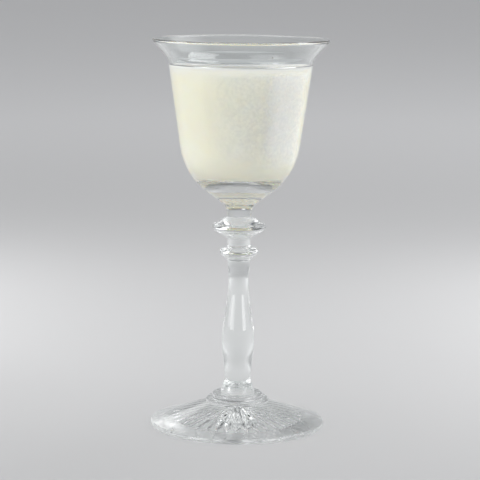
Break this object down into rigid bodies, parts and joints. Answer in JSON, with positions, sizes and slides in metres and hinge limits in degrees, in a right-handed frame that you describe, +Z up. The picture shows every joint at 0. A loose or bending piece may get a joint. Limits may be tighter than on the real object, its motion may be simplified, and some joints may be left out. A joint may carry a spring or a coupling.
{
  "type": "cocktail glass",
  "caption": "Stemmed cocktail glass with a flared bell bowl, a knopped baluster stem and a rayed round foot, filled with a pale cloudy drink.",
  "frame": {"origin": "middle of the ring that the foot stands on, in the plane of the table", "axes": "+Z up along the axis that the glass is turned about; the glass is round, so +X and +Y are free"},
  "size_m": [0.0766, 0.0766, 0.17],
  "materials": {
    "clear_glass": "polished",
    "cloudy_drink": "gloss"
  },
  "bodies": {
    "root": {"foot": "clear_glass", "foot_collar": "clear_glass", "baluster_stem": "clear_glass", "lower_knop": "clear_glass", "knop_neck": "clear_glass", "upper_knop": "clear_glass", "bowl": "clear_glass", "drink": "cloudy_drink"}
  },
  "joints": []
}
